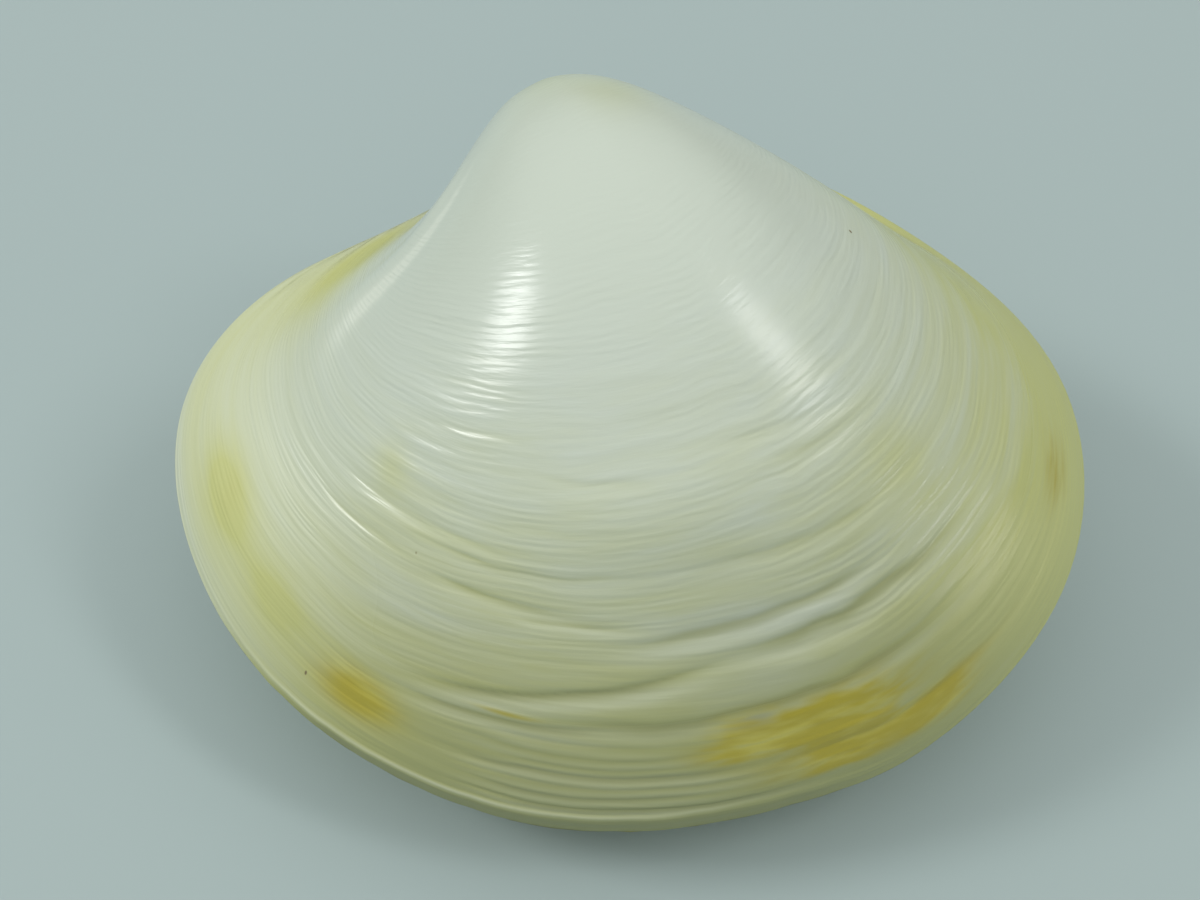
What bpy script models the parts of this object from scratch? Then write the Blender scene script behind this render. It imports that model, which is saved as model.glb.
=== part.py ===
"""Closed venus clam: two grown valves and the ligament that holds them together.

Metres, +Z up. The shell lies on its right valve, posterior end towards +X, hinge towards +Y,
on a small flat that wear has left.
Each valve is a loft through stages of its own growth. A stage is the outline of the margin
shrunk towards the beak, a little narrower when young, and swung up about the coiling axis,
so the beak curls over towards the hinge as the tip of a logarithmic spiral.
"""
import math

import bmesh
import bpy
import numpy as np
from mathutils import Matrix, Vector

# Driving dimensions, in metres and radians.
MM = 0.001
WALL = 1.2 * MM                 # wall, measured across in the plane of a growth stage
VALVE_GAP = 0.3 * MM            # between the two margins
AXIS_TILT = 0.195               # coiling axis against the hinge line, rising to the posterior
SWING_RATE = 1.08               # radians of swing for each e-fold of shrinking
SWING_LIMIT = 3.0               # the beak's tip stops short of meeting the other beak
YOUNG_NARROWING = 0.16          # how much narrower than the adult the youngest stage is
REST_PITCH = math.radians(17.8) # turn about X that brings the weight above the point of contact
REST_ROLL = math.radians(-4.6)  # turn about Y that does the same
WORN_DEPTH = 0.1 * MM           # of the small flat worn on the lower valve where it lies

# The margin's outline, from the beak round the anterior, ventral and posterior ends, in mm:
# x towards the posterior, y towards the hinge.
MARGIN_MM = (
    (0.0, -0.4),                # beneath the beak
    (-5.7, -1.8),               # lunule
    (-12.6, -3.3),              # end of the lunule
    (-18.0, -8.2),              # anterior end, upper
    (-17.8, -17.2),             # anterior end, lower
    (-12.5, -24.7),
    (-4.4, -29.1),              # ventral edge
    (4.5, -29.7),
    (9.3, -28.7),
    (16.5, -23.8),              # posterior end, lower
    (19.2, -15.3),              # posterior end, upper
    (15.2, -7.7),
    (7.8, -1.7),                # end of the ligament
    (0.0, -0.4),
)

# Ligament: a horny strip in the groove behind the beaks.
LIGAMENT_START = 1.6 * MM       # its ends, measured along the hinge from the beak
LIGAMENT_END = 8.4 * MM
LIGAMENT_HALF_WIDTH = 0.7 * MM
LIGAMENT_HALF_HEIGHT = 0.4 * MM
LIGAMENT_CLEARANCE = 0.35 * MM  # from the margins beneath it

# How finely the faceted solids are cut.
MARGIN_POINTS = 52
OUTER_STAGES = 23
INNER_STAGES = 9
OUTER_CROWDING = 1.5            # growth stages lie closer together towards the beak
TIP_SCALE = 0.012               # scale of the last ring before the beak's tip
CAVITY_SCALE = 0.3              # scale of the stage where the inside closes


def smooth_curve(points, count):
    """Natural cubic spline through the points, spaced by the square root of their distances."""
    points = np.asarray(points, float)
    gaps = np.sqrt(np.linalg.norm(np.diff(points, axis=0), axis=1))
    knots = np.concatenate(([0.0], np.cumsum(gaps)))
    size = len(points)
    matrix = np.eye(size)
    right = np.zeros_like(points)
    for i in range(1, size - 1):
        matrix[i, i - 1:i + 2] = gaps[i - 1], 2 * (gaps[i - 1] + gaps[i]), gaps[i]
        slope_after = (points[i + 1] - points[i]) / gaps[i]
        slope_before = (points[i] - points[i - 1]) / gaps[i - 1]
        right[i] = 6 * (slope_after - slope_before)
    bend = np.linalg.solve(matrix, right)
    t = np.linspace(0.0, knots[-1], count)
    i = np.clip(np.searchsorted(knots, t, side="right") - 1, 0, size - 2)
    step = gaps[i][:, None]
    after = (t - knots[i])[:, None]
    before = step - after
    cubic = (bend[i] * before**3 + bend[i + 1] * after**3) / (6 * step)
    line_start = (points[i] / step - bend[i] * step / 6) * before
    line_end = (points[i + 1] / step - bend[i + 1] * step / 6) * after
    return cubic + line_start + line_end


def swing(scale):
    """Angle of a growth stage above the margin's plane: even at first, easing off at the limit."""
    even = -SWING_RATE * math.log(scale)
    return even / (1 + (even / SWING_LIMIT) ** 4) ** 0.25


def growth_stage(outline, scale):
    """The valve's edge when it was this fraction of its size, as points in space."""
    narrowing = 1 - YOUNG_NARROWING * (1 - scale)
    x = scale * narrowing * outline[:, 0]
    y = scale * outline[:, 1]
    along = x * math.cos(AXIS_TILT) + y * math.sin(AXIS_TILT)
    across = y * math.cos(AXIS_TILT) - x * math.sin(AXIS_TILT)
    flat = across * math.cos(swing(scale))
    return np.stack((
        along * math.cos(AXIS_TILT) - flat * math.sin(AXIS_TILT),
        along * math.sin(AXIS_TILT) + flat * math.cos(AXIS_TILT),
        -across * math.sin(swing(scale)),
    ), axis=1)


def inside_of(ring):
    """The same stage drawn in towards its middle by the thickness of the wall."""
    inward = ring.mean(axis=0) - ring
    return ring + inward * (WALL / np.linalg.norm(inward, axis=1))[:, None]


def valve_rings(outline):
    """Rings from the beak's tip down the outside, over the margin and up the inside."""
    grown = np.linspace(0.0, 1.0, OUTER_STAGES) ** OUTER_CROWDING
    outside = [growth_stage(outline, scale) for scale in TIP_SCALE + (1 - TIP_SCALE) * grown]
    inside_scales = np.linspace(1.0, CAVITY_SCALE, INNER_STAGES)
    inside = [inside_of(growth_stage(outline, scale)) for scale in inside_scales]
    return outside + inside


def loft(name, rings, mirrored):
    """Mesh skinned over the rings, each end closed by a fan of triangles to a middle point."""
    bm = bmesh.new()
    loops = [[bm.verts.new(point) for point in ring] for ring in rings]
    count = len(loops[0])

    def add_face(corners):
        bm.faces.new(tuple(reversed(corners)) if mirrored else corners)

    for upper, lower in zip(loops, loops[1:]):
        for j in range(count):
            k = (j + 1) % count
            add_face((upper[j], lower[j], lower[k], upper[k]))
    first = bm.verts.new(rings[0].mean(axis=0))
    last = bm.verts.new(rings[-1].mean(axis=0))
    for j in range(count):
        k = (j + 1) % count
        add_face((first, loops[0][j], loops[0][k]))
        add_face((last, loops[-1][k], loops[-1][j]))
    mesh = bpy.data.meshes.new(name)
    bm.to_mesh(mesh)
    bm.free()
    return mesh


def valve_mesh(name, side):
    """One valve: side +1 is the left valve above the margin's plane, -1 the right one below."""
    outline = smooth_curve(MARGIN_MM, MARGIN_POINTS + 1)[:-1] * MM
    rings = [ring + (0.0, 0.0, VALVE_GAP / 2) for ring in valve_rings(outline)]
    return loft(name, [ring * (1.0, 1.0, side) for ring in rings], mirrored=side < 0)


def ligament_mesh(name):
    """A sphere drawn out along the margin behind the beaks, its underside level above the gap."""
    outline = smooth_curve(MARGIN_MM, 40 * MARGIN_POINTS) * MM
    hinge = outline[::-1][:10 * MARGIN_POINTS]
    bm = bmesh.new()
    bmesh.ops.create_uvsphere(bm, u_segments=12, v_segments=16, radius=1.0)
    for vert in bm.verts:
        across, height, along = -vert.co.x, vert.co.y, vert.co.z
        x = LIGAMENT_START + (LIGAMENT_END - LIGAMENT_START) * (along + 1) / 2
        i = int(np.argmin(np.abs(hinge[:, 0] - x)))
        direction = hinge[i + 1] - hinge[i - 1]
        normal = np.array((-direction[1], direction[0])) / np.linalg.norm(direction)
        thickest = math.sqrt(max(0.0, 1 - along**2))
        lift = LIGAMENT_CLEARANCE + LIGAMENT_HALF_HEIGHT * (thickest + height)
        foot = hinge[i] + normal * lift
        vert.co = Vector((foot[0], foot[1], across * LIGAMENT_HALF_WIDTH))
    mesh = bpy.data.meshes.new(name)
    bm.to_mesh(mesh)
    bm.free()
    return mesh


def plain_material(name, colour, roughness):
    """Principled material of one colour."""
    material = bpy.data.materials.new(name)
    material.use_nodes = True
    shader = material.node_tree.nodes["Principled BSDF"]
    shader.inputs["Base Color"].default_value = (*colour, 1.0)
    shader.inputs["Roughness"].default_value = roughness
    shader.inputs["Metallic"].default_value = 0.0
    return material


def add_part(name, mesh, material, collection):
    """Object in the shell's collection, shaded smooth but for its rim."""
    mesh.materials.append(material)
    mesh.shade_smooth()
    mesh.set_sharp_from_angle(angle=math.radians(50))
    part = bpy.data.objects.new(name, mesh)
    collection.objects.link(part)
    return part


def lay_down(parts):
    """Turn the closed shell to the way it rests, its worn flat at zero, origin mid-base."""
    turn = Matrix.Rotation(REST_ROLL, 4, "Y") @ Matrix.Rotation(REST_PITCH, 4, "X")
    for part in parts:
        part.data.transform(turn)
    corners = np.array([vert.co for part in parts for vert in part.data.vertices])
    low = corners.min(axis=0)
    high = corners.max(axis=0)
    base = low[2] + WORN_DEPTH
    shift = Matrix.Translation((-(low[0] + high[0]) / 2, -(low[1] + high[1]) / 2, -base))
    for part in parts:
        part.data.transform(shift)


def wear_flat(mesh):
    """Cut away what lies below zero and close the cut with one flat face."""
    bm = bmesh.new()
    bm.from_mesh(mesh)
    cut = bmesh.ops.bisect_plane(
        bm,
        geom=bm.verts[:] + bm.edges[:] + bm.faces[:],
        plane_co=(0.0, 0.0, 0.0),
        plane_no=(0.0, 0.0, 1.0),
        clear_inner=True,
    )
    rim = [item for item in cut["geom_cut"] if isinstance(item, bmesh.types.BMEdge)]
    bmesh.ops.holes_fill(bm, edges=rim)
    bm.to_mesh(mesh)
    bm.free()


for old in list(bpy.data.objects):
    bpy.data.objects.remove(old, do_unlink=True)
shell = bpy.data.collections.new("venus_clam")
bpy.context.scene.collection.children.link(shell)

upper_shell = plain_material("upper_shell", (0.62, 0.65, 0.50), 0.3)
lower_shell = plain_material("lower_shell", (0.62, 0.64, 0.50), 0.3)
horn = plain_material("horn", (0.12, 0.06, 0.025), 0.5)
left_valve = add_part("left_valve", valve_mesh("left_valve", +1), upper_shell, shell)
right_valve = add_part("right_valve", valve_mesh("right_valve", -1), lower_shell, shell)
ligament = add_part("ligament", ligament_mesh("ligament"), horn, shell)
lay_down([left_valve, right_valve, ligament])
wear_flat(right_valve.data)
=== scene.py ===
"""Venus clam shell: the finished looks of a closed pair of valves lying on its right valve.

Lengths in the sections are in millimetres, and each mesh is scaled to metres when it is made.
A place on a valve has two coordinates: around, from 0 beneath the beak round the anterior,
ventral and posterior ends to 1, and age, the size of the growing valve as a fraction of the
full one. Everything that grew, and every stain that later soaked in, is placed by them.
"""
import math

import bpy
import numpy as np
from mathutils import Matrix, Vector


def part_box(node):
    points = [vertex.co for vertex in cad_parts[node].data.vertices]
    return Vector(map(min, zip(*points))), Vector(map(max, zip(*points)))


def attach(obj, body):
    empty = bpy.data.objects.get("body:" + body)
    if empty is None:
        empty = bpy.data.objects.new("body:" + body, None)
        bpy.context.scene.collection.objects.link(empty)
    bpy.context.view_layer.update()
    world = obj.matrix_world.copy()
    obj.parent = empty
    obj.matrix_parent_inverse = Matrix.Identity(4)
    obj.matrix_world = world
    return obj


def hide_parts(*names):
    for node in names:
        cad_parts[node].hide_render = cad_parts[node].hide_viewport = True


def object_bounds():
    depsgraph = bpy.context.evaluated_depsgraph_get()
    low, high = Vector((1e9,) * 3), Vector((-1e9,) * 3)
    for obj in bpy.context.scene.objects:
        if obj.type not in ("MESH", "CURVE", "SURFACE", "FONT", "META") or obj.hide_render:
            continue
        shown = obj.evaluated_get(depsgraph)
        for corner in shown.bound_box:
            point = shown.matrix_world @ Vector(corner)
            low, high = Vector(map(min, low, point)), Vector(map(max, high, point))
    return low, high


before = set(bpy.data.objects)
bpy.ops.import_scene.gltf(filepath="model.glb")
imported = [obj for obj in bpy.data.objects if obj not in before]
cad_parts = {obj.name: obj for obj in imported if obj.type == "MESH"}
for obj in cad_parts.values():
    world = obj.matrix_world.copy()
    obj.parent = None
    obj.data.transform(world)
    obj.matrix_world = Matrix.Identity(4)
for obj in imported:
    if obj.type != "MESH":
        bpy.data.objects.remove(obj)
cad_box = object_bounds()


# ---------------------------------------------------------------------------------------------
# Left valve: the upper one. Chalk-white aragonite laid down at the margin, one thin increment
# after another, so its surface is covered with growth lines; rests in growth left deep grooves.
# It is glossy, and stained yellow and rust where iron in the sand soaked into the outer rim.

MM = 0.001
SHELL_REACH = 30.0              # from the beak to the ventral margin, in the margin's plane
WALL = 1.2
AXIS_TILT = 0.195               # coiling axis against the hinge line, in radians
SWING_RATE = 1.08               # radians of swing for each e-fold of shrinking
SWING_LIMIT = 3.0               # the beak's tip stops short of meeting the other beak
YOUNG_NARROWING = 0.16          # how much narrower than the adult the youngest stage is
YOUNGEST = 0.012                # age of the first stage, at the beak's tip
YOUNG_LIFT = 0.15               # of the plain growth form above the plane between the valves
RIM_LIFT = 0.05                 # of the margin itself, so that the two nearly touch
REST_TURN = (                   # from the margin's plane to the way the shell lies
    Matrix.Rotation(math.radians(-4.6), 3, "Y")
    @ Matrix.Rotation(math.radians(17.8), 3, "X")
)
MARGIN = (                      # x towards the posterior, y towards the hinge
    (0.0, -0.4),
    (-5.7, -1.8),
    (-12.6, -3.3),
    (-18.0, -8.2),
    (-17.8, -17.2),
    (-12.5, -24.7),
    (-4.4, -29.1),
    (4.5, -29.7),
    (9.3, -28.7),
    (16.5, -23.8),
    (19.2, -15.3),
    (15.2, -7.7),
    (7.8, -1.7),
    (0.0, -0.4),
)


def smooth_curve(points, places):
    """Natural cubic spline through the points, at places from 0 to 1 along it. Its knots are
    spaced by the square root of the points' distances."""
    points = np.asarray(points, float)
    gaps = np.sqrt(np.linalg.norm(np.diff(points, axis=0), axis=1))
    knots = np.concatenate(([0.0], np.cumsum(gaps)))
    size = len(points)
    matrix = np.eye(size)
    inner = np.arange(1, size - 1)
    matrix[inner, inner - 1] = gaps[:-1]
    matrix[inner, inner] = 2 * (gaps[:-1] + gaps[1:])
    matrix[inner, inner + 1] = gaps[1:]
    slopes = np.diff(points, axis=0) / gaps[:, None]
    right = np.zeros_like(points)
    right[1:-1] = 6 * np.diff(slopes, axis=0)
    bend = np.linalg.solve(matrix, right)
    t = np.asarray(places) * knots[-1]
    i = np.clip(np.searchsorted(knots, t, side="right") - 1, 0, size - 2)
    step = gaps[i][:, None]
    after = (t - knots[i])[:, None]
    before = step - after
    cubic = (bend[i] * before**3 + bend[i + 1] * after**3) / (6 * step)
    line_start = (points[i] / step - bend[i] * step / 6) * before
    line_end = (points[i + 1] / step - bend[i + 1] * step / 6) * after
    return cubic + line_start + line_end


def grown_surface(around, ages):
    """The valve's outside without relief: the margin at every age, as an (age, around, 3) grid.

    A stage of age a is the margin's outline times a, narrowed while young, and swung up about
    the tilted coiling axis by an angle that grows with the logarithm of 1/a up to a limit.
    """
    outline = smooth_curve(MARGIN, around)
    age = np.asarray(ages)[:, None]
    x = age * (1 - YOUNG_NARROWING * (1 - age)) * outline[None, :, 0]
    y = age * outline[None, :, 1]
    even = -SWING_RATE * np.log(age)
    swing = even / (1 + (even / SWING_LIMIT) ** 4) ** 0.25
    along = x * math.cos(AXIS_TILT) + y * math.sin(AXIS_TILT)
    across = y * math.cos(AXIS_TILT) - x * math.sin(AXIS_TILT)
    flat = across * np.cos(swing)
    return np.stack((
        along * math.cos(AXIS_TILT) - flat * math.sin(AXIS_TILT),
        along * math.sin(AXIS_TILT) + flat * math.cos(AXIS_TILT),
        YOUNG_LIFT - across * np.sin(swing),
    ), axis=2)


def surface_normals(grid):
    """Unit normals of an (age, around, 3) grid that closes on itself around, facing outwards."""
    by_age = np.gradient(grid, axis=0)
    by_around = (np.roll(grid, -1, axis=1) - np.roll(grid, 1, axis=1)) / 2
    normals = np.cross(by_age, by_around)
    return normals / (np.linalg.norm(normals, axis=2, keepdims=True) + 1e-12)


def lattice_noise(seed, around, growth, cells, spacing):
    """Smooth noise from -1 to 1: random heights on a lattice of cells around by lines of growth,
    joined by smoothstep curves in both directions, and seamless around."""
    table = np.random.default_rng(seed).uniform(-1.0, 1.0, (257, cells))
    u = around * cells
    v = growth / spacing
    column = np.floor(u).astype(int)
    row = np.floor(v).astype(int)
    u = u - column
    v = v - row
    u = u * u * (3 - 2 * u)
    v = v * v * (3 - 2 * v)
    left = column % cells
    right = (column + 1) % cells
    row = row % 256
    near = table[row, left] * (1 - u) + table[row, right] * u
    far = table[row + 1, left] * (1 - u) + table[row + 1, right] * u
    return near * (1 - v) + far * v


def smoothstep(low, high, value):
    """0 below low, 1 above high, and a smooth rise between."""
    t = np.clip((value - low) / (high - low), 0.0, 1.0)
    return t * t * (3 - 2 * t)


def span(value, start, full, fading, end):
    """0 outside start to end, 1 from full to fading, and smooth between."""
    return smoothstep(start, full, value) * (1 - smoothstep(fading, end, value))


def bump(value, middle, spread):
    """A soft bump of height 1 at the middle: exp(-(offset/spread)^2)."""
    return np.exp(-((value - middle) / spread) ** 2)


# Growth lines from coarse to fine: spacing, height, cells of noise around, and how much of the
# height is there on the young half of the valve and on its two ends.
GROWTH_LINES = (
    (1.20, 0.036, 7, 0.10, 0.15),
    (0.60, 0.026, 9, 0.20, 0.20),
    (0.30, 0.022, 14, 0.60, 0.35),
    (0.16, 0.009, 30, 0.80, 0.50),
)

# Rests in growth on the left valve. Each runs from one place around to another, and has its age
# at the start, the middle and the end, its depth, and the width of the side that falls towards
# the margin and of the side that rises again.
LEFT_RESTS = (
    (0.355, 0.445, 0.605, 0.607, 0.611, 0.018, 0.35, 0.09),
    (0.335, 0.400, 0.627, 0.628, 0.630, 0.014, 0.30, 0.09),
    (0.430, 0.505, 0.636, 0.646, 0.656, 0.030, 0.09, 0.38),
    (0.525, 0.625, 0.637, 0.640, 0.648, 0.035, 0.09, 0.38),
    (0.550, 0.650, 0.664, 0.668, 0.676, 0.035, 0.09, 0.38),
    (0.340, 0.480, 0.688, 0.690, 0.695, 0.030, 0.30, 0.20),
    (0.300, 0.455, 0.708, 0.713, 0.718, 0.030, 0.16, 0.13),
    (0.350, 0.500, 0.723, 0.729, 0.730, 0.055, 0.09, 0.38),
    (0.470, 0.680, 0.730, 0.737, 0.739, 0.050, 0.13, 0.50),
    (0.305, 0.368, 0.751, 0.752, 0.755, 0.035, 0.16, 0.13),
    (0.368, 0.460, 0.760, 0.761, 0.768, 0.065, 0.09, 0.38),
    (0.410, 0.485, 0.775, 0.777, 0.781, 0.060, 0.24, 0.13),
    (0.440, 0.640, 0.799, 0.788, 0.786, 0.120, 0.26, 0.50),
    (0.360, 0.530, 0.876, 0.841, 0.8145, 0.140, 0.12, 0.62),
    (0.485, 0.690, 0.8175, 0.8125, 0.811, 0.120, 0.24, 0.62),
    (0.500, 0.610, 0.823, 0.826, 0.830, 0.050, 0.09, 0.38),
    (0.395, 0.680, 0.868, 0.872, 0.858, 0.090, 0.20, 0.56),
    (0.360, 0.480, 0.892, 0.880, 0.882, 0.090, 0.10, 0.44),
    (0.400, 0.495, 0.893, 0.893, 0.897, 0.050, 0.09, 0.31),
    (0.380, 0.520, 0.906, 0.908, 0.909, 0.050, 0.12, 0.25),
    (0.395, 0.510, 0.918, 0.920, 0.921, 0.050, 0.12, 0.25),
    (0.380, 0.530, 0.929, 0.930, 0.931, 0.080, 0.12, 0.31),
    (0.515, 0.640, 0.934, 0.937, 0.933, 0.070, 0.13, 0.31),
    (0.385, 0.540, 0.942, 0.943, 0.944, 0.060, 0.10, 0.25),
    (0.385, 0.520, 0.955, 0.955, 0.956, 0.070, 0.10, 0.25),
    (0.385, 0.550, 0.968, 0.969, 0.970, 0.070, 0.09, 0.19),
)
FULL_GROOVE = 0.08              # depth from which a groove is fully darkened, partly dirt and partly painted shade
FULL_RIDGE = 0.14               # depth from which the ridge after it gets the full painted highlight


def growth_relief(around, ages, rests, seed):
    """Height of the growth lines over the plain form, in mm, on the (age, around) grid; the
    growth coordinate that the lines keep to, in mm; and how far each point lies in a groove and
    on the rounded ridge that follows it.

    Lines are lattice noise, far longer around than across, in four sizes. They wander, and the
    coarse ones grow stronger on the older half. A rest is a groove: minus its depth times
    exp(1 - sqrt(1 + (2 distance/width)^2)), with its own width on each side. Its age follows
    the parabola through its three ages, and it fades at both ends.
    """
    growth = ages * SHELL_REACH
    line = growth + 0.30 * lattice_noise(seed, around, growth, 9, 5.0)
    line = line + 0.07 * lattice_noise(seed + 1, around, growth, 31, 1.6)
    outer = smoothstep(0.52, 0.80, ages)
    ventral = span(around, 0.28, 0.38, 0.67, 0.75)
    height = np.zeros_like(line)
    for k, (spacing, size, cells, young, side) in enumerate(GROWTH_LINES):
        lines = lattice_noise(seed + 10 + k, around, line, cells, spacing)
        strength = 0.70 + 0.45 * lattice_noise(seed + 20 + k, around, growth, 14, 3.0)
        strength = strength * (side + (1 - side) * ventral) * smoothstep(0.15, 0.55, ages)
        height = height + size * lines * strength * (young + (1 - young) * outer)
    groove = np.zeros_like(line)
    ridge = np.zeros_like(line)
    ripple = 0.07 * lattice_noise(seed + 2, around, growth, 61, 0.9)
    for start, end, age_start, age_middle, age_end, depth, fall, rise in rests:
        t = (around - start) / (end - start)
        age = (age_start * (1 - t) * (1 - 2 * t) + age_middle * 4 * t * (1 - t)
               + age_end * t * (2 * t - 1))
        fade = span(t, 0.0, 0.30, 0.62, 1.0)
        past = growth + ripple - SHELL_REACH * age
        width = np.where(past > 0, rise, fall)
        notch = fade * np.exp(1 - np.sqrt(1 + (2 * past / width) ** 2))
        crown = fade * bump(past, 0.10 + 0.45 * rise, 0.06 + 0.30 * rise)
        height = height - depth * notch
        groove = np.maximum(groove, notch * min(1.0, depth / FULL_GROOVE))
        ridge = np.maximum(ridge, crown * min(1.0, depth / FULL_RIDGE))
    return height, line, groove, ridge


# Depths and heights of what sets the valve off from the plain growth form.
UMBO_WEAR = 0.25
WELT_HEIGHT = 0.15              # along the fold beside the lunule
LUNULE_DEPTH = 0.22
ESCUTCHEON_DEPTH = 0.45
RIM_FULLNESS = 0.26
FLANK_SWELLING = 0.30
FLANK_HOLLOW = 0.25


def valve_form(around, ages):
    """What sets the real valve off from the plain growth form, in mm: a worn umbo, a welt along
    the fold beside the sunken lunule, a sunken escutcheon behind the beaks, fuller outer slopes
    that turn down to the rim, a swelling low on the middle of the flank, and a hollow along its
    posterior side. Also where a streak of painted highlight lies beside the welt, from 0 to 1."""
    worn = -UMBO_WEAR * (1 - smoothstep(0.30, 0.62, ages))
    welt_path = 0.25 + 0.9 * np.maximum(0.0, 0.6 - ages) ** 2
    welt = WELT_HEIGHT * bump(around, welt_path, 0.016) * span(ages, 0.24, 0.36, 0.60, 0.74)
    lunule = -LUNULE_DEPTH * bump(around, 0.175, 0.050) * span(ages, 0.15, 0.5, 0.85, 0.99)
    escutcheon = -ESCUTCHEON_DEPTH * bump(around, 0.885, 0.055) * span(ages, 0.2, 0.5, 0.93, 1.0)
    full = RIM_FULLNESS * bump(ages, 0.89, 0.09) * span(around, 0.14, 0.24, 0.66, 0.78)
    swollen = FLANK_SWELLING * bump(ages, 0.68, 0.05) * bump(around, 0.49, 0.08)
    hollow = -FLANK_HOLLOW * bump(ages, 0.55, 0.18) * bump(around, 0.70, 0.045)
    # painted highlight: a narrow bright streak beside the welt, where the shell is partly whiter
    # too
    streak_path = 0.263 + 1.03 * np.maximum(0.0, 0.62 - ages) ** 2
    crest_highlight = bump(around, streak_path, 0.0065) * span(ages, 0.26, 0.40, 0.50, 0.66)
    return worn + welt + lunule + escutcheon + full + swollen + hollow, crest_highlight


LIP_HEIGHT = 0.30


def lip(around, ages):
    """A narrow shelf along the ventral margin. Its height in mm above the form rises from the
    rim as a parabola to a shoulder, drops a little just behind it, and then fades away. Also
    how much painted shade darkens its outer face and the dip behind the shoulder, and how much
    painted highlight lightens the shoulder."""
    inward = (1 - ages) * SHELL_REACH
    shoulder = 0.17 + 0.40 * bump(around, 0.488, 0.14)
    past = inward - shoulder
    front = 1 - (1 - np.minimum(inward / shoulder, 1.0)) ** 2
    behind = (1 - 0.30 * smoothstep(0.0, 0.24, past)) * (1 - smoothstep(0.2, 3.2, past))
    reach = span(around, 0.27, 0.37, 0.46, 0.64)
    # painted shade on the outer face and in the dip behind the shoulder; painted highlight on the
    # shoulder
    lip_shade = 1.2 * (1 - smoothstep(-0.15, -0.03, past)) + 0.5 * bump(past, 0.26, 0.09)
    shoulder_highlight = 0.4 * bump(past, 0.06, 0.09) * (1 - smoothstep(0.42, 0.52, around))
    return LIP_HEIGHT * front * behind * reach, lip_shade * reach, shoulder_highlight * reach


def turned_in(around, ages, seed):
    """How much of its reach the margin loses where its last increments turn down: a little
    less at the ventral edge, and uneven there, because the thin edge crumbles."""
    turn = 0.0075 + 0.008 * bump(around, 0.17, 0.07) - 0.004 * bump(around, 0.35, 0.07)
    crumbled = 0.0012 * lattice_noise(seed + 5, around, np.zeros_like(around), 140, 1.0)
    crumbled = crumbled * bump(around, 0.43, 0.14)
    return (turn + crumbled) * smoothstep(0.955, 1.0, ages)


COLUMNS = 184                   # of the mesh, around
INNER_RINGS = 20
FOLD_AROUND = 0.262             # where the flank folds over into the lunule
FOLD_COLUMN = 0.313             # the even place that lands on the fold
CROWDING = 0.35                 # of the mesh's columns towards the fold
CAVITY_AGE = 0.3                # of the stage where the inside closes
EDGE_TURN = 0.06                # of the rim's thickness, over which its outer edge turns
RIM_AGES = 0.012                # over which the relief runs out at the rim


def valve_grid(rests, seed, outer_rings):
    """Both faces of a valve as one (ring, around, 3) grid, from the beak's tip over the outside
    to the margin and up the inside, with every ring's age, which is 2 minus the age on the
    inside, every column's around, and the values of every point that the finish needs."""
    even = np.arange(COLUMNS) / COLUMNS
    wave = np.sin(2 * np.pi * (even - FOLD_COLUMN)) + math.sin(2 * np.pi * FOLD_COLUMN)
    columns = even - CROWDING * wave / (2 * np.pi)
    to_rim = np.linspace(0.0, 1.0, outer_rings)
    outer_ages = YOUNGEST + (1 - YOUNGEST) * (1 - (1 - to_rim) ** 1.22)
    inner_ages = np.linspace(1.0, CAVITY_AGE, INNER_RINGS)
    around = columns[None, :]
    ages = outer_ages[:, None]

    outside = grown_surface(columns, outer_ages)
    reach = np.linalg.norm(outside[-1], axis=1)[None, :] / SHELL_REACH
    height, line, groove, ridge = growth_relief(*np.broadcast_arrays(around, ages), rests, seed)
    height = height * reach ** 0.7 * (1 + 0.8 * bump(around, FOLD_AROUND, 0.03))
    form, crest_highlight = valve_form(around, ages)
    height = height * smoothstep(0.0, 0.15, ages) + form
    height = height * smoothstep(0.0, RIM_AGES, 1 - ages)
    outside = outside + surface_normals(outside) * height[:, :, None]
    shelf, lip_shade, shoulder_highlight = lip(around, ages)
    outside[:, :, 2] += shelf - (YOUNG_LIFT - RIM_LIFT) * smoothstep(0.9, 1.0, ages)
    outside[:, :, :2] *= 1 - turned_in(around, ages, seed)[:, :, None]

    inside = grown_surface(columns, inner_ages)
    inside[:, :, 2] -= YOUNG_LIFT - RIM_LIFT
    inward = inside.mean(axis=1, keepdims=True) - inside
    inside = inside + inward * (WALL / np.linalg.norm(inward, axis=2, keepdims=True))
    rim = outside[-1:] + (inside[:1] - outside[-1:]) * EDGE_TURN

    grid = np.concatenate((outside, rim, inside))
    rows = np.concatenate((outer_ages, [1.0], 2 - inner_ages))
    within = np.zeros((INNER_RINGS + 1, COLUMNS))
    # Painted shade: the lip's outer face and the dip behind its shoulder join the grooves'
    # darkening. Painted highlight: the streak by the welt, the lip's shoulder and the ridges
    # after the grooves.
    values = {
        "line": np.concatenate((line, line[-1:] + within)),
        "groove": np.concatenate((groove + lip_shade, within)),
        "painted_highlight": np.concatenate((2.2 * crest_highlight + shoulder_highlight + 0.38 * ridge, within)),
    }
    return grid, rows, columns, values


def laid_down_shift():
    """What to add so that the plain growth form of both valves fills the frame's own box. The
    form is sampled finely enough that its box is true to a hundredth of a millimetre."""
    left = grown_surface(np.arange(208) / 208, np.linspace(YOUNGEST, 1.0, 92))
    both = np.concatenate((left, left * (1.0, 1.0, -1.0))).reshape(-1, 3)
    both = both @ np.array(REST_TURN).T * MM
    boxes = [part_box("left_valve"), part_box("right_valve")]
    low = np.min([box[0] for box in boxes], axis=0)
    high = np.max([box[1] for box in boxes], axis=0)
    shift = (low + high) / 2 - (both.min(axis=0) + both.max(axis=0)) / 2
    shift[2] = high[2] - both[:, 2].max()
    return shift


LAID_DOWN = laid_down_shift()


def to_world(points):
    """From the left valve's own frame to the shell as it lies, in metres."""
    return points @ np.array(REST_TURN).T * MM + LAID_DOWN


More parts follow.
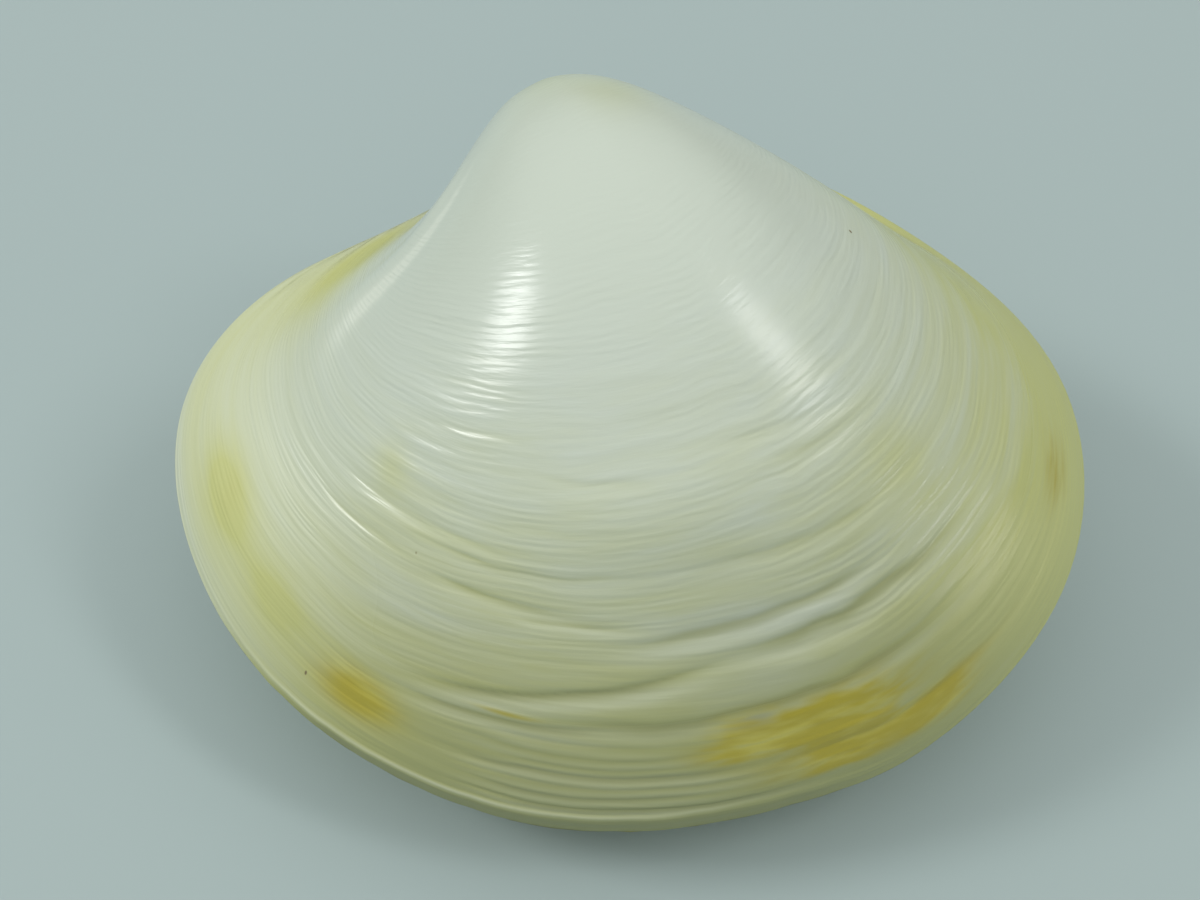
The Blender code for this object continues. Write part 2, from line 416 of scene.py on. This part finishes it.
def closed_mesh(name, grid, rows, columns, values):
    """Closed mesh over a grid that wraps around, with a fan at each end, a UV map whose u is
    around and whose v is the row's own value, and the named values as point attributes."""
    rings, count = grid.shape[:2]
    points = np.concatenate((grid.reshape(-1, 3), grid[:1].mean(axis=1), grid[-1:].mean(axis=1)))
    first = rings * count
    ring, place = np.meshgrid(np.arange(rings - 1), np.arange(count), indexing="ij")
    after = (place + 1) % count
    quads = np.stack((
        ring * count + place,
        (ring + 1) * count + place,
        (ring + 1) * count + after,
        ring * count + after,
    ), axis=2).reshape(-1, 4)
    place = np.arange(count)
    after = (place + 1) % count
    last = (rings - 1) * count
    start_fan = np.stack((np.full(count, first), place, after), axis=1)
    end_fan = np.stack((np.full(count, first + 1), last + after, last + place), axis=1)
    mesh = bpy.data.meshes.new(name)
    mesh.from_pydata(points, [], quads.tolist() + start_fan.tolist() + end_fan.tolist())

    # The last column meets the first again at the other end of around.
    u_next = np.append(columns[1:], 1.0 - columns[0])
    u_middle = (columns + u_next) / 2
    quad_u = np.stack((columns, columns, u_next, u_next), axis=1)
    quad_u = np.broadcast_to(quad_u, (rings - 1, count, 4))
    quad_v = np.stack((rows[:-1], rows[1:], rows[1:], rows[:-1]), axis=1)
    quad_v = np.broadcast_to(quad_v[:, None, :], (rings - 1, count, 4))
    quad_uv = np.stack((quad_u, quad_v), axis=3).reshape(-1, 2)
    start_u = np.stack((u_middle, columns, u_next), axis=1)
    start_uv = np.stack((start_u, np.full((count, 3), rows[0])), axis=2).reshape(-1, 2)
    end_u = np.stack((u_middle, u_next, columns), axis=1)
    end_uv = np.stack((end_u, np.full((count, 3), rows[-1])), axis=2).reshape(-1, 2)
    uv = mesh.uv_layers.new(name="growth")
    uv.data.foreach_set("uv", np.concatenate((quad_uv, start_uv, end_uv)).ravel())
    for label, value in values.items():
        attribute = mesh.attributes.new(label, "FLOAT", "POINT")
        ends = (value[:1].mean(), value[-1:].mean())
        attribute.data.foreach_set("value", np.append(value.ravel(), ends).astype(np.float32))
    mesh.shade_smooth()
    return mesh


def add_piece(name, mesh, material):
    """Object of that mesh and material in the scene."""
    mesh.materials.append(material)
    piece = bpy.data.objects.new(name, mesh)
    bpy.context.scene.collection.objects.link(piece)
    return piece


class Pattern:
    """A value or colour that varies over a surface: one output socket of a material's nodes.

    Sums, differences, products and quotients of patterns and numbers add Math nodes. A pattern
    made without a socket is only there to add the first nodes.
    """

    def __init__(self, tree, socket=None):
        self.tree = tree
        self.socket = socket

    def node(self, kind, settings, inputs, output=0):
        """Add a node of that type: its settings first, then the values or links it takes."""
        made = self.tree.nodes.new(kind)
        for name, value in settings.items():
            setattr(made, name, value)
        for name, value in inputs.items():
            if isinstance(value, Pattern):
                self.tree.links.new(value.socket, made.inputs[name])
            else:
                made.inputs[name].default_value = value
        return Pattern(self.tree, made.outputs[output])

    def math(self, operation, *others):
        """A Math node of that operation on this pattern and the others."""
        terms = dict(enumerate((self, *others)))
        return self.node("ShaderNodeMath", {"operation": operation}, terms)

    def __add__(self, other):
        return self.math("ADD", other)

    __radd__ = __add__

    def __sub__(self, other):
        return self.math("SUBTRACT", other)

    def __rsub__(self, other):
        return self * -1.0 + other

    def __mul__(self, other):
        return self.math("MULTIPLY", other)

    __rmul__ = __mul__

    def __truediv__(self, other):
        return self.math("DIVIDE", other)

    def rise(self, low, high):
        """0 where the pattern is below low, 1 above high, and smooth between."""
        settings = {"interpolation_type": "SMOOTHSTEP"}
        return self.node("ShaderNodeMapRange", settings,
                         {"Value": self, "From Min": low, "From Max": high})

    def bump_at(self, middle, spread):
        """A soft bump of height 1 where the pattern is at the middle: exp(-(offset/spread)^2)."""
        offset = (self - middle) / spread
        return (offset * offset * -1.0).math("EXPONENT")

    def attribute(self, name):
        """A point attribute of the mesh."""
        return self.node("ShaderNodeAttribute", {"attribute_name": name}, {}, output=2)

    def blend(self, first, second):
        """The first colour where the pattern is 0 or less, the second where it is 1 or more."""
        return self.node("ShaderNodeMix", {"data_type": "RGBA"},
                         {0: self, 6: first, 7: second}, output=2)


WHITE = (0.575, 0.638, 0.545, 1.0)
YELLOW = (0.520, 0.545, 0.215, 1.0)
RUST = (0.420, 0.365, 0.048, 1.0)
GOLD = (0.520, 0.485, 0.110, 1.0)
# painted highlight: the white that lightens the ridges, the lip's shoulder and the streak by the
# welt
HIGHLIGHT_WHITE = (0.680, 0.735, 0.630, 1.0)
# dirt in the grooves, and painted shade on the ventral slope, the lip and in the grooves
DIRT_AND_SHADE = (0.310, 0.330, 0.150, 1.0)
DARK_GRAIN = (0.200, 0.165, 0.080, 1.0)
GLOSS = 0.24                    # roughness where the shell is best polished
RIB_SPACING = 0.25
RIB_HEIGHT = 9e-6               # in metres


def valve_material(name, seed, yellow_places, stains, grains):
    """Glossy white shell, yellowed towards the rim, with rust soaked in along growth lines, and
    ribs on it that are too fine for the mesh."""
    material = bpy.data.materials.new(name)
    material.use_nodes = True
    tree = material.node_tree
    shader = tree.nodes["Principled BSDF"]
    surface = Pattern(tree)
    growth_uv = surface.node("ShaderNodeUVMap", {"uv_map": "growth"}, {})
    around = surface.node("ShaderNodeSeparateXYZ", {}, {"Vector": growth_uv}, output=0)
    age = surface.node("ShaderNodeSeparateXYZ", {}, {"Vector": growth_uv}, output=1)
    line = surface.attribute("line")
    groove = surface.attribute("groove")
    painted_highlight = surface.attribute("painted_highlight")
    turn = around * (2 * math.pi)
    ring_x = turn.math("COSINE")
    ring_y = turn.math("SINE")

    def growth_noise(features, spacing, step):
        """Noise from about 0.2 to 0.8 with that many features around and that spacing, in mm,
        across the growth lines; seamless around. The step sets it apart from the others."""
        radius = features / (2 * math.pi)
        place = surface.node("ShaderNodeCombineXYZ", {}, {
            "X": ring_x * radius + (seed + step),
            "Y": ring_y * radius,
            "Z": line / spacing,
        })
        return surface.node("ShaderNodeTexNoise", {}, {"Vector": place, "Scale": 1.0})

    def spots(places):
        """Sum of soft spots, each at its place around and age, with its spreads and strength."""
        return sum(
            around.bump_at(middle, reach) * age.bump_at(old, spread) * strength
            for middle, reach, old, spread, strength in places
        )

    # The shell yellows with age, more in some bands and threads than in others, and in the
    # grooves. The anterior flank is paler and more even, and the inside is white.
    mottle = growth_noise(9, 5.0, 0.0)
    bands = growth_noise(14, 0.80, 3.0)
    threads = growth_noise(30, 0.22, 5.0)
    varied = (mottle - 0.5) * 0.55 + (bands - 0.5) * 0.75 + (threads - 0.5) * 0.35
    varied = varied * age.rise(0.40, 0.85) * (0.35 + 0.65 * around.rise(0.28, 0.38))
    yellow = age.rise(0.50, 1.02) * (0.55 + 0.45 * around.rise(0.27, 0.40))
    yellow = yellow + spots(yellow_places) + varied + groove * 0.22
    colour = (yellow * (1 - age.rise(1.0, 1.02))).blend(WHITE, YELLOW)

    # Painted shade: the ventral slope, which faces away from the light, is darkened towards
    # olive, and so are the lip's outer face and the dip behind its shoulder. The grooves are
    # darkened the same way, partly dirt and partly painted shade. Painted highlights lighten the
    # ridges after the grooves, the lip's shoulder, and the streak beside the lunule, where the
    # shell is also whiter.
    ventral_shade = age.rise(0.66, 0.96) * around.rise(0.28, 0.40) * (1 - around.rise(0.58, 0.70)) * 0.73
    colour = (groove.rise(0.25, 1.9) + ventral_shade).blend(colour, DIRT_AND_SHADE)
    colour = (painted_highlight * (0.35 + threads * 0.9)).blend(colour, HIGHLIGHT_WHITE)

    # Rust soaked in from the rim. It is even at the anterior end and broken into ragged streaks
    # along the growth lines on the rest.
    ragged = growth_noise(34, 0.42, 11.0)
    broken = (bands - 0.5) * 1.6 + (ragged - 0.5) * 2.2 + (threads - 0.5) * 0.8
    broken = broken * (0.08 + 0.92 * around.rise(0.42, 0.47))
    soaked = spots(stains) * (0.85 + (mottle - 0.5) * 0.8 + broken)
    rust = ragged.rise(0.25, 0.58).blend(GOLD, RUST)
    colour = soaked.rise(0.0, 1.1).blend(colour, rust)
    colour = spots(grains).rise(0.3, 0.7).blend(colour, DARK_GRAIN)
    tree.links.new(colour.socket, shader.inputs["Base Color"])

    # The ribs wander and come and go. They are stronger under the painted highlights and on
    # the posterior flank, and a finer grain lies over them.
    fine = growth_noise(40, 0.12, 7.0)
    wander = growth_noise(16, 0.9, 9.0)
    patchy = growth_noise(26, 1.6, 13.0)
    rib = (line * (2 * math.pi / RIB_SPACING) + wander * 14.0).math("SINE")
    strength = (patchy - 0.32).math("MAXIMUM", 0.0) * 1.3 + painted_highlight * 0.35
    strength = strength + around.bump_at(0.62, 0.05) * age.bump_at(0.78, 0.10) * 0.35
    height = fine * 1.3 + rib * strength * age.rise(0.2, 0.5)
    relief = surface.node("ShaderNodeBump", {},
                          {"Height": height, "Strength": 1.0, "Distance": RIB_HEIGHT})
    tree.links.new(relief.socket, shader.inputs["Normal"])

    # It is duller towards the rim, and most of all low on the anterior flank.
    anterior = 1 - around.rise(0.30, 0.37)
    dull = age.rise(0.84, 0.96) * 0.20 + age.rise(0.72, 0.84) * anterior * 0.30
    tree.links.new((GLOSS + dull).socket, shader.inputs["Roughness"])
    return material


# Where the left valve is yellower than its age, or whiter if the strength is negative: around at
# the middle, spread around, age, spread of age, strength.
LEFT_YELLOW = (
    (0.165, 0.048, 0.620, 0.200, 0.85),
    (0.190, 0.035, 0.600, 0.130, 0.30),
    (0.800, 0.045, 0.780, 0.260, 0.75),
    (0.345, 0.012, 0.675, 0.035, 0.30),
    (0.640, 0.018, 0.730, 0.050, 0.25),
    (0.265, 0.022, 0.890, 0.045, 0.80),
    (0.310, 0.020, 0.905, 0.035, 0.55),
    (0.440, 0.080, 0.930, 0.040, 0.20),
    (0.690, 0.060, 0.920, 0.060, 0.30),
    (0.240, 0.050, 0.990, 0.020, -0.35),
    (0.560, 0.100, 0.180, 0.060, 0.35),
    (0.650, 0.070, 0.270, 0.050, 0.30),
    (0.545, 0.060, 0.800, 0.022, -0.60),
    (0.532, 0.045, 0.850, 0.018, -0.40),
    (0.515, 0.030, 0.785, 0.020, -0.25),
    (0.390, 0.040, 0.790, 0.030, -0.30),
    (0.430, 0.050, 0.885, 0.020, -0.25),
)

# Stains on the left valve, in the same terms.
LEFT_STAINS = (
    (0.358, 0.019, 0.922, 0.028, 1.15),
    (0.350, 0.022, 0.945, 0.022, 0.35),
    (0.267, 0.010, 0.885, 0.030, 0.30),
    (0.510, 0.012, 0.884, 0.014, 1.40),
    (0.504, 0.016, 0.914, 0.013, 0.90),
    (0.525, 0.030, 0.905, 0.024, 1.30),
    (0.568, 0.034, 0.908, 0.030, 1.05),
    (0.580, 0.045, 0.936, 0.010, 1.10),
    (0.545, 0.030, 0.955, 0.014, 0.90),
    (0.605, 0.022, 0.958, 0.014, 1.10),
    (0.418, 0.014, 0.873, 0.003, 0.90),
    (0.709, 0.018, 0.920, 0.024, 0.75),
)

# Dark grains caught in the surface of the left valve, and last a faint dark patch at the end of
# its largest stain, in the same terms.
LEFT_GRAINS = (
    (0.3685, 0.0010, 0.746, 0.0028, 0.55),
    (0.3340, 0.0007, 0.946, 0.0040, 0.80),
    (0.7265, 0.0012, 0.581, 0.0028, 0.90),
    (0.5120, 0.0280, 0.887, 0.0200, 0.46),
)

left_grid, left_rows, left_columns, left_values = valve_grid(LEFT_RESTS, 11, 500)
left_valve = add_piece(
    "left_valve_surface",
    closed_mesh("left_valve_surface", to_world(left_grid), left_rows, left_columns, left_values),
    valve_material("upper_shell_finish", 2.0, LEFT_YELLOW, LEFT_STAINS, LEFT_GRAINS),
)
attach(left_valve, "root")
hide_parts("left_valve")


# ---------------------------------------------------------------------------------------------
# Right valve: the mirror image of the left, underneath. It grew at the same pace, so its rests
# match the left valve's in age but not line for line, and it is less stained. It is worn flat
# where it touches the ground.

RIGHT_RESTS = (
    (0.330, 0.520, 0.606, 0.611, 0.615, 0.035, 0.20, 0.20),
    (0.300, 0.560, 0.710, 0.716, 0.722, 0.060, 0.25, 0.30),
    (0.340, 0.650, 0.748, 0.754, 0.756, 0.065, 0.20, 0.40),
    (0.420, 0.640, 0.788, 0.784, 0.788, 0.080, 0.18, 0.45),
    (0.350, 0.640, 0.832, 0.820, 0.824, 0.110, 0.22, 0.50),
    (0.330, 0.600, 0.868, 0.862, 0.866, 0.090, 0.22, 0.40),
    (0.300, 0.620, 0.902, 0.898, 0.900, 0.060, 0.16, 0.30),
    (0.320, 0.640, 0.944, 0.945, 0.946, 0.045, 0.14, 0.25),
)
RIGHT_YELLOW = (
    (0.165, 0.035, 0.640, 0.200, 0.55),
    (0.800, 0.045, 0.780, 0.260, 0.65),
    (0.330, 0.060, 0.920, 0.040, 0.35),
)
RIGHT_STAINS = (
    (0.345, 0.030, 0.915, 0.025, 0.70),
    (0.560, 0.050, 0.930, 0.025, 0.80),
    (0.700, 0.020, 0.900, 0.025, 0.50),
)
RIGHT_GRAINS = (
    (0.420, 0.0010, 0.860, 0.0030, 0.90),
)


def other_way_round(grid):
    """The grid's columns in the opposite order, but for the first, which stays first. It keeps
    the faces of a mirrored grid pointing outwards."""
    return np.roll(grid[:, ::-1], 1, axis=1)


right_grid, right_rows, right_columns, right_values = valve_grid(RIGHT_RESTS, 71, 320)
right_columns = np.append(1.0, right_columns[:0:-1])
right_values = {name: other_way_round(value) for name, value in right_values.items()}
right_world = to_world(other_way_round(right_grid * (1.0, 1.0, -1.0)))
right_world[:, :, 2] = np.maximum(right_world[:, :, 2], 0.0)
right_valve = add_piece(
    "right_valve_surface",
    closed_mesh("right_valve_surface", right_world, right_rows, right_columns, right_values),
    valve_material("lower_shell_finish", 31.0, RIGHT_YELLOW, RIGHT_STAINS, RIGHT_GRAINS),
)
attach(right_valve, "root")
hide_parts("right_valve")


# ---------------------------------------------------------------------------------------------
# Ligament: the strip of dried horn in the groove behind the beaks that springs the valves open
# in life and holds the pair together now. It is dark, tapered at both ends, and finely cracked
# across where it has dried.

LIGAMENT_START = 1.6            # its ends, along the hinge from the beak
LIGAMENT_END = 8.4
LIGAMENT_HALF_WIDTH = 0.62
LIGAMENT_HALF_HEIGHT = 0.46
LIGAMENT_LIFT = 0.12            # of its middle above the margins that it lies on
DARK_HORN = (0.055, 0.030, 0.014, 1.0)
PALE_HORN = (0.170, 0.095, 0.045, 1.0)
CRACK_DEPTH = 8e-5              # in metres


def ligament_grid(around_count, length_count):
    """A spindle along the hinge: rings of an ellipse whose size follows a rounded half wave,
    standing on the margin's curve and turned to its outward normal."""
    hinge = smooth_curve(MARGIN, np.linspace(1.0, 0.84, 400))
    along = (1 - np.cos(np.pi * np.linspace(0.01, 0.99, length_count))) / 2
    x = LIGAMENT_START + (LIGAMENT_END - LIGAMENT_START) * along
    y = np.interp(x, hinge[:, 0], hinge[:, 1])
    slope = np.interp(x, hinge[:, 0], np.gradient(hinge[:, 1]) / np.gradient(hinge[:, 0]))
    normal = np.stack((-slope, np.ones_like(slope)), axis=1)
    normal = normal / np.linalg.norm(normal, axis=1, keepdims=True)
    size = np.sin(np.pi * along) ** 0.6
    turn = 2 * np.pi * np.arange(around_count) / around_count
    lift = LIGAMENT_LIFT + LIGAMENT_HALF_HEIGHT * np.cos(turn)[None, :] * size[:, None]
    side = LIGAMENT_HALF_WIDTH * np.sin(turn)[None, :] * size[:, None]
    place = np.stack((x, y), axis=1)[:, None, :] + normal[:, None, :] * lift[:, :, None]
    return np.concatenate((place, side[:, :, None]), axis=2), along, turn / (2 * np.pi)


def ligament_material():
    """Dark brown horn, with finer and coarser bands across it and a dull gloss."""
    material = bpy.data.materials.new("horn_finish")
    material.use_nodes = True
    tree = material.node_tree
    shader = tree.nodes["Principled BSDF"]
    surface = Pattern(tree)
    growth_uv = surface.node("ShaderNodeUVMap", {"uv_map": "growth"}, {})
    stretched = surface.node("ShaderNodeMapping", {},
                             {"Vector": growth_uv, "Scale": (2.0, 26.0, 1.0)})
    bands = surface.node("ShaderNodeTexNoise", {},
                         {"Vector": stretched, "Scale": 1.0, "Detail": 4.0})
    colour = bands.rise(0.3, 0.7).blend(DARK_HORN, PALE_HORN)
    tree.links.new(colour.socket, shader.inputs["Base Color"])
    relief = surface.node("ShaderNodeBump", {},
                          {"Height": bands, "Strength": 1.0, "Distance": CRACK_DEPTH})
    tree.links.new(relief.socket, shader.inputs["Normal"])
    shader.inputs["Roughness"].default_value = 0.5
    return material


strip_grid, strip_rows, strip_columns = ligament_grid(28, 90)
ligament = add_piece(
    "ligament_strip",
    closed_mesh("ligament_strip", to_world(strip_grid), strip_rows, strip_columns, {}),
    ligament_material(),
)
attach(ligament, "root")
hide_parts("ligament")


# ---------------------------------------------------------------------------------------------
# Table, light and camera: a pale matt table under a soft sky that is brightest overhead; two
# long lamps, left and right, whose reflections run down the shell's flanks; and a low one that
# brightens its posterior edge.

TABLE_HALF = 4.0                # in metres: its far edge passes for a horizon
table_mesh = bpy.data.meshes.new("table")
table_mesh.from_pydata(
    [(-TABLE_HALF, -TABLE_HALF, 0), (TABLE_HALF, -TABLE_HALF, 0),
     (TABLE_HALF, TABLE_HALF, 0), (-TABLE_HALF, TABLE_HALF, 0)],
    [], [(0, 1, 2, 3)],
)
table_finish = bpy.data.materials.new("table_finish")
table_finish.use_nodes = True
table_shader = table_finish.node_tree.nodes["Principled BSDF"]
table_shader.inputs["Base Color"].default_value = (0.395, 0.478, 0.471, 1.0)
table_shader.inputs["Roughness"].default_value = 0.9
table_shader.inputs["Specular IOR Level"].default_value = 0.0
table = add_piece("table", table_mesh, table_finish)

SKY_MIDDLE = (-0.10, 0.06, 1.00)
SKY_BRIGHT = (1.00, 1.02, 1.01, 1.0)
SKY_DIM = (0.11, 0.115, 0.115, 1.0)
world = bpy.data.worlds.new("studio")
world.use_nodes = True
sky = Pattern(world.node_tree)
direction = sky.node("ShaderNodeTexCoord", {}, {}, output=0)
upward = sky.node("ShaderNodeVectorMath", {"operation": "DOT_PRODUCT"},
                  {0: direction, 1: SKY_MIDDLE}, output=1)
glow = upward.rise(0.15, 1.0).blend(SKY_DIM, SKY_BRIGHT)
world.node_tree.links.new(glow.socket, world.node_tree.nodes["Background"].inputs["Color"])
bpy.context.scene.world = world

LAMP_DISTANCE = 0.5             # in metres
shell_middle = Vector((cad_box[0] + cad_box[1]) / 2)


def add_lamp(name, first, second, width, power):
    """Long area lamp that reaches from one direction from the shell to another, facing it."""
    first = Vector(first).normalized() * LAMP_DISTANCE
    second = Vector(second).normalized() * LAMP_DISTANCE
    light = bpy.data.lights.new(name, "AREA")
    light.shape = "RECTANGLE"
    light.size = (second - first).length
    light.size_y = width
    light.energy = power
    lamp = bpy.data.objects.new(name, light)
    middle = (first + second) / 2
    away = middle.normalized()
    lengthwise = (second - first).normalized()
    turn = Matrix((lengthwise, away.cross(lengthwise), away)).transposed()
    lamp.location = shell_middle + middle
    lamp.rotation_mode = "QUATERNION"
    lamp.rotation_quaternion = turn.to_quaternion()
    bpy.context.scene.collection.objects.link(lamp)
    return lamp


add_lamp("left_lamp", (-0.70, 0.32, 0.645), (-0.765, 0.07, 0.645), 0.11, 0.72)
add_lamp("right_lamp", (0.43, -0.07, 0.90), (0.63, -0.37, 0.69), 0.08, 0.38)
low_lamp = add_lamp("low_lamp", (0.74, -0.66, 0.10), (0.95, -0.28, 0.10), 0.06, 0.021)
low_lamp.data.spread = math.radians(60)     # keeps its light off the table beside it

# The view is set in the left valve's own frame: three turns of the shell before the camera, in
# radians, and the camera's place along its own axes.
VIEW_TILT = -0.253
VIEW_SIDE = 0.115
VIEW_ROLL = 0.218
CAMERA_PLACE = (2.123, -13.009, 72.419)
view_turn = (
    Matrix.Rotation(VIEW_ROLL, 3, "Z")
    @ Matrix.Rotation(VIEW_SIDE, 3, "Y")
    @ Matrix.Rotation(VIEW_TILT, 3, "X")
)
camera_data = bpy.data.cameras.new("camera")
camera_data.sensor_width = 36.0
camera_data.lens = 49.24
camera_data.clip_start = 0.005
camera = bpy.data.objects.new("camera", camera_data)
camera.rotation_mode = "QUATERNION"
camera.rotation_quaternion = (REST_TURN @ view_turn.transposed()).to_quaternion()
camera.location = to_world(np.array(view_turn.transposed() @ Vector(CAMERA_PLACE)))
bpy.context.scene.collection.objects.link(camera)
bpy.context.scene.camera = camera
bpy.context.scene.view_settings.view_transform = "Standard"
